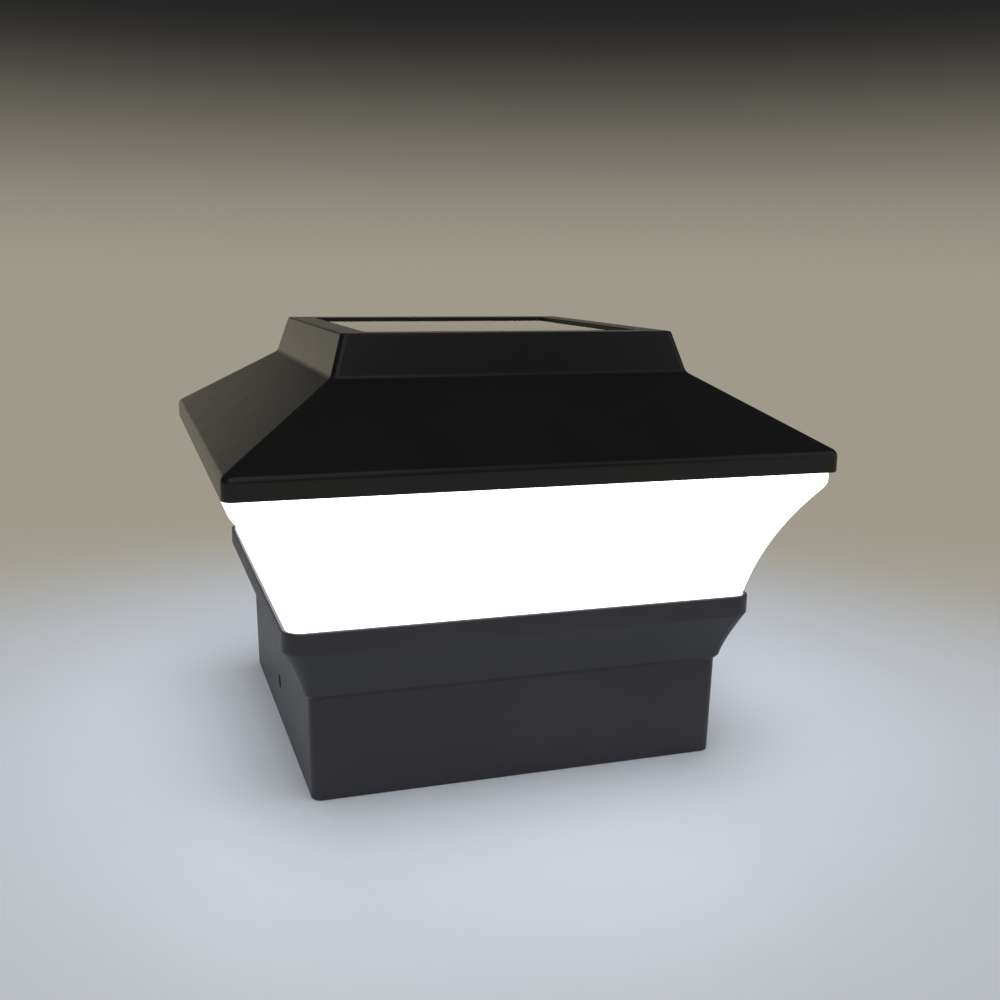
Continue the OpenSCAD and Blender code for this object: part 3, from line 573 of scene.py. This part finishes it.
GLOW_STEPS = 16
curve = [glow(step / GLOW_STEPS) for step in range(GLOW_STEPS + 1)]
back = [[min(half - GLOW_WALL, TONGUE - TONGUE_WALL), z, GLOW_BACK_R] for half, z, _ in reversed(curve)]
swept([[FOOT - TAPER, SKIRT_Z, LIP_BACK_R]] + curve
      + [[BAND, BAND_LOW, BAND_R], [BAND + TAPER, BAND_TOP, BAND_R], [TONGUE, BAND_TOP, TONGUE_R],
         [TONGUE, TONGUE_Z, TONGUE_R], [TONGUE - TONGUE_WALL, TONGUE_Z, GLOW_BACK_R]]
      + back + [[FOOT - GLOW_WALL, SKIRT_Z, GLOW_BACK_R]])
round_off([[BAND, BAND_LOW, BAND_R]], 0.5)
round_off([[BAND + TAPER, BAND_TOP, BAND_R]], 0.3, 3)
deselect()
diffuser = bpy.context.object


EAR_HALF, EAR_T, EAR_STEP = 3, 2.4, 0.2
LOWER_EAR_L, LOWER_BOSS_H, LOWER_PILOT_H = 12.7, 9, 8
UPPER_EAR_L, UPPER_EAR_Z = 18.2, TONGUE_Z - 2.6


def ear(at, length, z, boss_rings):
    """A flat arm out to the corner of the wall, with a round boss at its inner end."""
    arm = brick(0, length, -EAR_HALF, EAR_HALF, z + EAR_STEP, z + EAR_T - EAR_STEP)
    arm = moved(turn(arm, 45), at, at)
    combine(arm, turned(boss_rings, at, at), "UNION")
    return arm


lower_ear = ear(COLUMN, LOWER_EAR_L, SKIRT_Z, [[BOSS, SKIRT_Z + LOWER_BOSS_H], [BOSS, SKIRT_Z]])
upper_ear = ear(ROOF_BOSS, UPPER_EAR_L, UPPER_EAR_Z, [[BOSS, TONGUE_Z - EAR_STEP], [BOSS, UPPER_EAR_Z]])
combine(diffuser, at_corners(lower_ear), "UNION")
combine(diffuser, at_corners(upper_ear), "UNION")
pilots = turned([[PILOT, SKIRT_Z - PAST], [PILOT, SKIRT_Z + LOWER_PILOT_H]], COLUMN, COLUMN)
clear_holes = turned([[SCREW_HOLE, UPPER_EAR_Z - PAST], [SCREW_HOLE, TONGUE_Z + PAST]],
                     ROOF_BOSS, ROOF_BOSS)
holes = joined([at_corners(pilots), at_corners(clear_holes)])
combine(diffuser, holes, "DIFFERENCE")
finished(diffuser, "diffuser_moulding", opal_plastic, "housing", "diffuser_plastic", "diffuser")

# ---- Base ---------------------------------------------------------------------------------

SOCKET, SLEEVE, SLEEVE_TOP, SLEEVE_R, FLOOR_Z, FLOOR_TOP = 51.8, 54.0, 54.5, 2.5, 26.3, 28.7
COVE, COVE_Z, COVE_H, COVE_OUT, COVE_BOW, COVE_WALL = 55.5, 27.5, 12.7, 5.5, 1.22, 2.4
LIP, LIP_R, LIP_BACK, SEAT, SEAT_Z, CORE_R = 61.0, 5, 59.9, 57.2, 42.2, 1
COVE_STEPS = 14


def cove(share, inset=0.0):
    """A point of the hollow curve under the lip, from sleeve to lip."""
    return [COVE + COVE_OUT * share ** COVE_BOW - inset, COVE_Z + COVE_H * share,
            SLEEVE_R + (LIP_R - SLEEVE_R) * share]


outer = [cove(step / COVE_STEPS) for step in range(COVE_STEPS + 1)]
inner = [[min(cove(step / COVE_STEPS, COVE_WALL)[0], SEAT), cove(step / COVE_STEPS)[1], CORE_R]
         for step in range(COVE_STEPS - 1, 2, -1)]
swept([[SLEEVE, 0, SLEEVE_R], [SLEEVE_TOP, FLOOR_Z, SLEEVE_R]] + outer
      + [[LIP, LIP_TOP_Z, LIP_R], [LIP_BACK, LIP_TOP_Z, LIP_BACK_R], [LIP_BACK, SEAT_Z, LIP_BACK_R],
         [SEAT, SEAT_Z, CORE_R]]
      + inner + [[SOCKET + WELD, FLOOR_TOP, CORE_R], [SOCKET, FLOOR_TOP - 1, CORE_R], [SOCKET, 0, CORE_R]])
round_off([[LIP, LIP_TOP_Z, LIP_R]], 0.5)
round_off([[LIP_BACK, LIP_TOP_Z, LIP_BACK_R]], 0.2, 2)
round_off([[SLEEVE, 0, SLEEVE_R]], 0.5, 3)
round_off([[SOCKET, 0, CORE_R]], 0.3, 2)
round_off([[SLEEVE_TOP, FLOOR_Z, SLEEVE_R], [COVE, COVE_Z, SLEEVE_R]], 0.25, 3)
deselect()
base = bpy.context.object

combine(base, plate(SOCKET + WELD, SOCKET + WELD, CORE_R + WELD, FLOOR_Z, FLOOR_TOP), "UNION")

ROOM_X, ROOM_Y = 27.9, 7.4
FOOT_X, FOOT_Y, FOOT_H = 18.9, 12.4, 2.4
STANDOFF, BOARD_Z, STUD, COLUMN_R = 36.5, 35.5, 3, 4.2
RIB_IN, RIB_OUT, RIB_L, RIB_Z = 29, 31, 10, 22.3
HINGE_X, HINGE_Y, HINGE_Z, KNUCKLE = 21.9, -12.0, 24.3, 1.7
LUG_IN, LUG_OUT, PIN_HOLE, PIN_HOLE_IN, PIN_HOLE_OUT = 25.1, 29.1, 0.83, 23, 31
# A lug's block is this much narrower than its rod, so that their faces don't coincide
LUG_SHY = 0.03
COUNTERBORE, COLUMN_SEAT = 3.3, 4
GROOVE_X, GROOVE_Y, GROOVE_R, GROOVE_DEEP = 30.1, 9.6, 1.6, 0.8
RIM_X, RIM_Y, RIM_R, RIM_H = 28.7, 8.2, 1, 2
BORE_DEEP, BORE_UP, BORE_SIDES = 1.6, 4, 24
BUTTON_Y, BUTTON_HOLE = -28.0, 3.05
SIDE_HOLE_Z, SIDE_HOLE, SIDE_IN, SIDE_OUT = 12.0, 2, 48, 64


def lying(radius, x0, x1, y, z, sides=40):
    """A rod along X with its ends just bevelled."""
    soft = min(0.2, radius / 4)
    rod = turned([[radius - soft, x0], [radius, x0 + soft], [radius, x1 - soft], [radius - soft, x1]],
                 sides=sides)
    return moved(turn(rod, 90, "Y"), 0, y, z)


def at_feet(piece):
    """The piece and its three copies at the battery box's four feet."""
    return [piece, moved(copied(piece), -2 * FOOT_X, 0), moved(copied(piece), 0, -2 * FOOT_Y),
            moved(copied(piece), -2 * FOOT_X, -2 * FOOT_Y)]


# Columns, standoffs, the battery box's feet, the ribs that stop the post, and the hinge's lugs
rib = brick(RIB_IN, RIB_OUT, SOCKET - RIB_L, SOCKET + WELD, RIB_Z, FLOOR_Z + WELD)
lug = brick(LUG_IN, LUG_OUT, HINGE_Y - KNUCKLE + LUG_SHY, HINGE_Y + KNUCKLE - LUG_SHY,
            HINGE_Z, FLOOR_Z + WELD)
combine(lug, lying(KNUCKLE, LUG_IN, LUG_OUT, HINGE_Y, HINGE_Z), "UNION")
foot = turned([[STUD, FLOOR_Z + WELD], [STUD, FLOOR_TOP + FOOT_H]], FOOT_X, FOOT_Y)
added = joined([
    at_corners(turned([[COLUMN_R, FLOOR_Z + WELD / 2], [COLUMN_R, SEAT_Z]], COLUMN, COLUMN)),
    at_corners(turned([[STUD, FLOOR_Z + WELD], [STUD, BOARD_Z]], STANDOFF, STANDOFF)),
    at_corners(joined([rib, moved(copied(rib), -RIB_IN - RIB_OUT, 0)])),
    lug, moved(copied(lug), -LUG_IN - LUG_OUT, 0)] + at_feet(foot))
combine(base, added, "UNION")

# Battery opening, its seal's groove, screw holes and counterbores, button hole and side holes
groove = plate(GROOVE_X, GROOVE_Y, GROOVE_R, FLOOR_Z - PAST, FLOOR_Z + GROOVE_DEEP)
combine(groove, plate(RIM_X, RIM_Y, RIM_R, FLOOR_Z - RIM_H, FLOOR_Z + RIM_H), "DIFFERENCE")
pilot = turned([[PILOT, FLOOR_TOP - BORE_DEEP], [PILOT, FLOOR_TOP + BORE_UP]], FOOT_X, FOOT_Y, BORE_SIDES)
cut = joined([
    plate(ROOM_X, ROOM_Y, CORE_R, FLOOR_Z - PAST, FLOOR_TOP + PAST), groove,
    at_corners(turned([[COUNTERBORE, FLOOR_Z - PAST], [COUNTERBORE, SEAT_Z - COLUMN_SEAT],
                       [SCREW_HOLE, SEAT_Z - COLUMN_SEAT], [SCREW_HOLE, SEAT_Z + PAST]], COLUMN, COLUMN)),
    at_corners(turned([[PILOT, BOARD_Z - PILOT_DEEP], [PILOT, BOARD_Z + PAST]],
                      STANDOFF, STANDOFF, BORE_SIDES)),
    *at_feet(pilot),
    turned([[BUTTON_HOLE, FLOOR_Z - PAST], [BUTTON_HOLE, FLOOR_TOP + PAST]], 0, BUTTON_Y),
    lying(PIN_HOLE, -PIN_HOLE_OUT, -PIN_HOLE_IN, HINGE_Y, HINGE_Z, BORE_SIDES),
    lying(PIN_HOLE, PIN_HOLE_IN, PIN_HOLE_OUT, HINGE_Y, HINGE_Z, BORE_SIDES),
    lying(SIDE_HOLE, SIDE_IN, SIDE_OUT, 0, SIDE_HOLE_Z),
    lying(SIDE_HOLE, -SIDE_OUT, -SIDE_IN, 0, SIDE_HOLE_Z)])
combine(base, cut, "DIFFERENCE")
finished(base, "base_moulding", base_abs, "housing", "base_plastic", "base")

# ---- Battery door and hinge pin -----------------------------------------------------------

DOOR_X, DOOR_Y, DOOR_R, DOOR_Z, DOOR_TOP = 30.5, 10.0, 2, 23.9, 25.7
TAB_HALF, TAB_OUT, KNUCKLE_HALF, DOOR_WELD = 6, 1, 3, 1
GRIP_HALF, GRIP_W, GRIP_DEEP, GRIPS = 8, 0.9, 0.5, (4.2, 5.9, 7.6)
PIN_R, PIN_HALF, PIN_BORE = 0.8, 29.1, 0.85

door = plate(DOOR_X, DOOR_Y, DOOR_R, DOOR_Z, DOOR_TOP, 0.3)
combine(door, brick(-TAB_HALF, TAB_HALF, DOOR_Y - DOOR_WELD, DOOR_Y + TAB_OUT, DOOR_Z, DOOR_Z + 1),
        "UNION")
for x in (-HINGE_X, HINGE_X):
    left, right = x - KNUCKLE_HALF, x + KNUCKLE_HALF
    combine(door, brick(left, right, HINGE_Y, DOOR_WELD - DOOR_Y, DOOR_Z, DOOR_TOP), "UNION")
    combine(door, lying(KNUCKLE, left, right, HINGE_Y, HINGE_Z), "UNION")
combine(door, lying(PIN_BORE, -PIN_HOLE_OUT, PIN_HOLE_OUT, HINGE_Y, HINGE_Z, BORE_SIDES), "DIFFERENCE")
# Three shallow grooves give a fingertip a hold by the free edge
for y in GRIPS:
    combine(door, brick(-GRIP_HALF, GRIP_HALF, y, y + GRIP_W, DOOR_Z - PAST, DOOR_Z + GRIP_DEEP),
            "DIFFERENCE")
finished(door, "battery_door_moulding", base_abs, "battery_door", "base_plastic", "battery_door")
pin = lying(PIN_R, -PIN_HALF, PIN_HALF, HINGE_Y, HINGE_Z, 32)
finished(pin, "hinge_pin_rod", contact_steel, "housing", "contact_steel", "hinge_pin")

# ---- Mode button --------------------------------------------------------------------------

button = turned([[0.7, 24.35], [1.5, 24.2], [2.2, 23.95], [2.5, 23.9], [2.8, 24.0], [3, 24.3], [3, 28.8],
                 [4.05, 28.8], [4.25, 29], [4.25, 29.6], [4.05, 29.8]], 0, BUTTON_Y, 48)
finished(button, "mode_button_cap", button_plastic, "mode_button", "button_plastic", "mode_button")

# ---- Screws -------------------------------------------------------------------------------

SCREW_L, BOX_SCREW_L, PLATE_TOP, BOX_SEAT = 10, 4, 40.9, 32.5
# The pan head and one ridge of the thread, each [radius, height above the seat or the ridge's start]
HEAD = [[2.0, -1.8], [2.5, -1.65], [2.75, -1.2], [2.8, -0.4], [2.7, 0], [1.2, 0]]
RIDGE = [[1.15, 0], [1.5, 0.35], [1.5, 0.5], [1.15, 0.85]]
# The neck and the tip have no ridges
NECK, TIP_L, TIP_R = 0.5, 1.5, 0.3
CROSS_L, CROSS_W, CROSS_Z, CROSS_FLOOR = 1.5, 0.45, -2.2, -0.9


def screw(z, length, x, y):
    """A self-tapping pan head screw whose shank runs up from z, with its thread's ridges."""
    head = [[radius, z + step] for radius, step in HEAD]
    ridges = [[radius, z + NECK + pitch + step] for pitch in range(int(length - TIP_L))
              for radius, step in RIDGE]
    made = turned(head + ridges + [[TIP_R, z + length]], sides=32)
    for across, along in ((CROSS_L, CROSS_W), (CROSS_W, CROSS_L)):
        combine(made, brick(-across, across, -along, along, z + CROSS_Z, z + CROSS_FLOOR), "DIFFERENCE")
    return moved(made, x, y)


def upended(piece, z):
    """The piece turned upside down about a level."""
    return moved(turn(piece, 180, "X"), 0, 0, 2 * z)


base_screw = at_corners(screw(SEAT_Z - COLUMN_SEAT, SCREW_L, COLUMN, COLUMN))
finished(base_screw, "base_screws_turned", screw_steel, "housing", "screw_steel", "base_screws")
roof_screw = at_corners(screw(UPPER_EAR_Z, SCREW_L, ROOF_BOSS, ROOF_BOSS))
finished(roof_screw, "roof_screws_turned", screw_steel, "housing", "screw_steel", "roof_screws")
plate_screw = at_corners(upended(screw(PLATE_TOP, SCREW_L, STANDOFF, STANDOFF), PLATE_TOP))
finished(plate_screw, "plate_screws_turned", screw_steel, "housing", "screw_steel", "plate_screws")
box_screw = upended(screw(BOX_SEAT, BOX_SCREW_L, FOOT_X, FOOT_Y), BOX_SEAT)
box_screw = joined([box_screw] + [moved(copied(box_screw), x, y) for x, y in
                                  ((-2 * FOOT_X, 0), (0, 2 * FOOT_Y), (-2 * FOOT_X, 2 * FOOT_Y))])
finished(box_screw, "box_screws_turned", screw_steel, "housing", "screw_steel", "box_screws")

# ---- Battery ------------------------------------------------------------------------------

CELL_Z, CELL_LOW, CELL_HIGH = 33.69, -22.5, 26.5


def round_cell(profile):
    """A turned solid about the cell's axis, which lies along X."""
    return moved(turn(turned(profile, sides=56), 90, "Y"), 0, 0, CELL_Z)


# The shrunk sleeve folds over both ends and leaves the steel showing
sleeve = round_cell([[5.6, CELL_LOW + 0.15], [5.9, CELL_LOW], [6.6, CELL_LOW], [6.95, CELL_LOW + 0.15],
                     [7.1, CELL_LOW + 0.5], [7.1, CELL_HIGH - 0.5], [6.95, CELL_HIGH - 0.15],
                     [6.6, CELL_HIGH], [4.5, CELL_HIGH], [4.2, CELL_HIGH - 0.15]])
finished(sleeve, "battery_sleeve_shrunk", looks["battery"], "housing", "battery_sleeve", "battery")
can = round_cell([[5.3, CELL_LOW + 0.3], [5.3, CELL_LOW + 0.12], [5.1, CELL_LOW + 0.06]])
nub = round_cell([[3.9, CELL_HIGH - 0.3], [3.9, CELL_HIGH - 0.1], [2.8, CELL_HIGH], [2.5, CELL_HIGH + 0.2],
                  [2.5, CELL_HIGH + 0.8], [2.2, CELL_HIGH + 1]])
ends = joined([can, nub])
finished(ends, "battery_ends_pressed", contact_steel, "housing", "contact_steel")

# ---- Small parts inside -------------------------------------------------------------------

slots = {part["node"]: part["material_slot"] for part in frame["record"]["subparts"]}
bodies = {node: body for body, held in frame["record"]["behaviour"]["bodies"].items() for node in held}
# In degrees: faces within the first of flat are merged, and edges sharper than the second are eased
FLAT, SHARP = 1, 40


def eased(node, name, width=0, angle=SMOOTH):
    """The CAD node again with its edges eased by this much, as a mould or a press leaves them."""
    deselect()
    piece = bpy.data.objects.new(name, nodes[node].data.copy())
    bpy.context.scene.collection.objects.link(piece)
    bpy.context.view_layer.objects.active = piece
    look = nodes[node].material_slots[0].material
    bpy.ops.object.mode_set(mode="EDIT")
    bpy.ops.mesh.select_all(action="SELECT")
    bpy.ops.mesh.remove_doubles(threshold=SAME * MM)
    if width:
        bpy.ops.mesh.dissolve_limited(angle_limit=math.radians(FLAT))
        bpy.ops.mesh.select_all(action="DESELECT")
        bpy.ops.mesh.select_mode(type="EDGE")
        bpy.ops.mesh.edges_select_sharp(sharpness=math.radians(SHARP))
        bpy.ops.mesh.bevel(offset=width * MM, segments=2, affect="EDGES", clamp_overlap=True)
    return finished(piece, name, look, bodies[node], slots[node], node, angle=angle)


for node, name, width in (
        ("panel_backing", "panel_backing_routed", 0.15), ("circuit_board", "circuit_board_routed", 0.12),
        ("control_chip", "control_chip_moulded", 0.06), ("board_parts", "board_parts_pressed", 0.12),
        ("leds", "led_packages", 0.1), ("mode_switch", "mode_switch_case", 0.2),
        ("wire_socket", "wire_socket_moulded", 0.12), ("wire_plug", "wire_plug_moulded", 0.2),
        ("reflector_plate", "reflector_plate_moulded", 0.3), ("battery_box", "battery_box_moulded", 0.2),
        ("positive_contact", "positive_contact_pressed", 0.08),
        ("negative_contact", "negative_contact_pressed", 0.08),
        ("base_gasket", "base_gasket_ring", 0.2), ("roof_gasket", "roof_gasket_ring", 0.2),
        ("door_seal", "door_seal_ring", 0.2)):
    eased(node, name, width)
for node, name in (("contact_spring", "contact_spring_wound"), ("battery_wire_red", "battery_lead_red"),
                   ("battery_wire_black", "battery_lead_black"), ("solar_wire_red", "solar_lead_red"),
                   ("solar_wire_black", "solar_lead_black"), ("switch_plunger", "switch_plunger_turned")):
    eased(node, name, angle=SMOOTH_WIRE)

# ---- Floor, light and camera --------------------------------------------------------------

# The table's radius, and where it starts to fade and is gone, in metres from the axis
TABLE_R, SOLID_TO, GONE_FROM = 1, 0.09, 0.26

# The table is pale near the lamp, and melts into the backdrop's own pale foot further out
table, tree, place = material("pale_matt_table")
paint = add(tree, "BsdfPrincipled", {
    "Base Color": two_tone(tree, place, 120, "#d6dbe3", "#dce1e8"),
    "Roughness": 0.55})
away = add(tree, "VectorMath", {0: place}, operation="LENGTH")
melt = add(tree, "MapRange", {"Value": away.outputs["Value"], "From Min": SOLID_TO,
                              "From Max": GONE_FROM}, interpolation_type="SMOOTHSTEP")
output(table, tree, add(tree, "MixShader", {
    0: melt.outputs["Result"], 1: paint.outputs[0], 2: add(tree, "BsdfTransparent", {}).outputs[0]}))
deselect()
bpy.ops.mesh.primitive_circle_add(vertices=96, radius=TABLE_R, fill_type="NGON")
bpy.context.object.name = "table_top"
bpy.context.object.data.materials.append(table)

world = bpy.data.worlds.new("studio")
bpy.context.scene.world = world
world.use_nodes = True
sky = world.node_tree
sky.nodes.clear()
ray = add(sky, "LightPath", {}).outputs
seen = add(sky, "Math", {0: ray["Is Camera Ray"], 1: ray["Is Glossy Ray"]}, operation="MAXIMUM")
seen = add(sky, "Math", {0: seen.outputs[0], 1: ray["Is Transmission Ray"]}, operation="MAXIMUM")
# Three plain tones: a pale floor, a warm grey wall and a dark room above it
PALE_FLOOR, WARM_WALL, DARK_ROOM = "#b8bcc0", "#a09a8c", "#242424"
BACKDROP = [(-0.36, PALE_FLOOR), (-0.2, WARM_WALL), (-0.02, WARM_WALL), (0.2, DARK_ROOM)]
BACKDROP_LOW, BACKDROP_HIGH = BACKDROP[0][0], BACKDROP[-1][0]
way = add(sky, "SeparateXYZ", {"Vector": add(sky, "TexCoord", {}).outputs["Generated"]})
rise = add(sky, "MapRange", {"Value": way.outputs["Z"], "From Min": BACKDROP_LOW,
                             "From Max": BACKDROP_HIGH})
falloff = add(sky, "ValToRGB", {"Fac": rise.outputs["Result"]})
falloff.color_ramp.interpolation = "EASE"
falloff.color_ramp.elements.remove(falloff.color_ramp.elements[1])
for number, (level, colour) in enumerate(BACKDROP):
    share = (level - BACKDROP_LOW) / (BACKDROP_HIGH - BACKDROP_LOW)
    stop = falloff.color_ramp.elements.new(share) if number else falloff.color_ramp.elements[0]
    stop.position = share
    stop.color = linear(colour)
backdrop = add(sky, "Background", {"Color": falloff.outputs["Color"], "Strength": 1.0})
fill = add(sky, "Background", {"Color": linear("#ffffff"), "Strength": 0.52})
both = add(sky, "MixShader", {0: seen.outputs[0], 1: fill.outputs[0], 2: backdrop.outputs[0]})
add(sky, "OutputWorld", {"Surface": both.outputs[0]})


# The lamps point at the axis, at the height of the eave in metres
AIM_Z = 0.08


def softbox(name, place, width, height, power, colour="#ffffff"):
    """A flat lamp that the camera itself doesn't see."""
    lamp = bpy.data.lights.new(name, "AREA")
    lamp.shape = "RECTANGLE"
    lamp.size, lamp.size_y = width, height
    lamp.energy = power
    lamp.color = linear(colour)[:3]
    holder = bpy.data.objects.new(name, lamp)
    bpy.context.scene.collection.objects.link(holder)
    holder.location = place
    aim = Vector((0, 0, AIM_Z)) - Vector(place)
    holder.rotation_euler = aim.to_track_quat("-Z", "Y").to_euler()
    holder.visible_camera = False


softbox("key_softbox", (-0.6, -1.6, 2.0), 2.6, 2.6, 12)
softbox("fill_softbox", (1.4, -0.9, 0.9), 1.6, 1.6, 3.5)
# A glow behind, which the panel and the side faces mirror
softbox("wall_glow", (0, 1.0, 0.17), 1.1, 0.26, 0.12, "#fff4de")

# The photograph's place in metres, its lens in mm, and its heading, tilt and roll in degrees
CAMERA_AT, LENS = (-0.09535, -0.31881, 0.12902), 42.08
HEADING, TILT, ROLL = -18.464, 78.586, 0.692

camera = bpy.data.objects.new("camera", bpy.data.cameras.new("camera"))
bpy.context.scene.collection.objects.link(camera)
camera.data.sensor_width = 36
camera.data.lens = LENS
camera.location = CAMERA_AT
camera.rotation_mode = "QUATERNION"
camera.rotation_quaternion = (Quaternion((0, 0, 1), math.radians(HEADING))
                              @ Quaternion((1, 0, 0), math.radians(TILT))
                              @ Quaternion((0, 0, 1), math.radians(ROLL)))
bpy.context.scene.camera = camera
bpy.context.scene.view_settings.view_transform = "Standard"
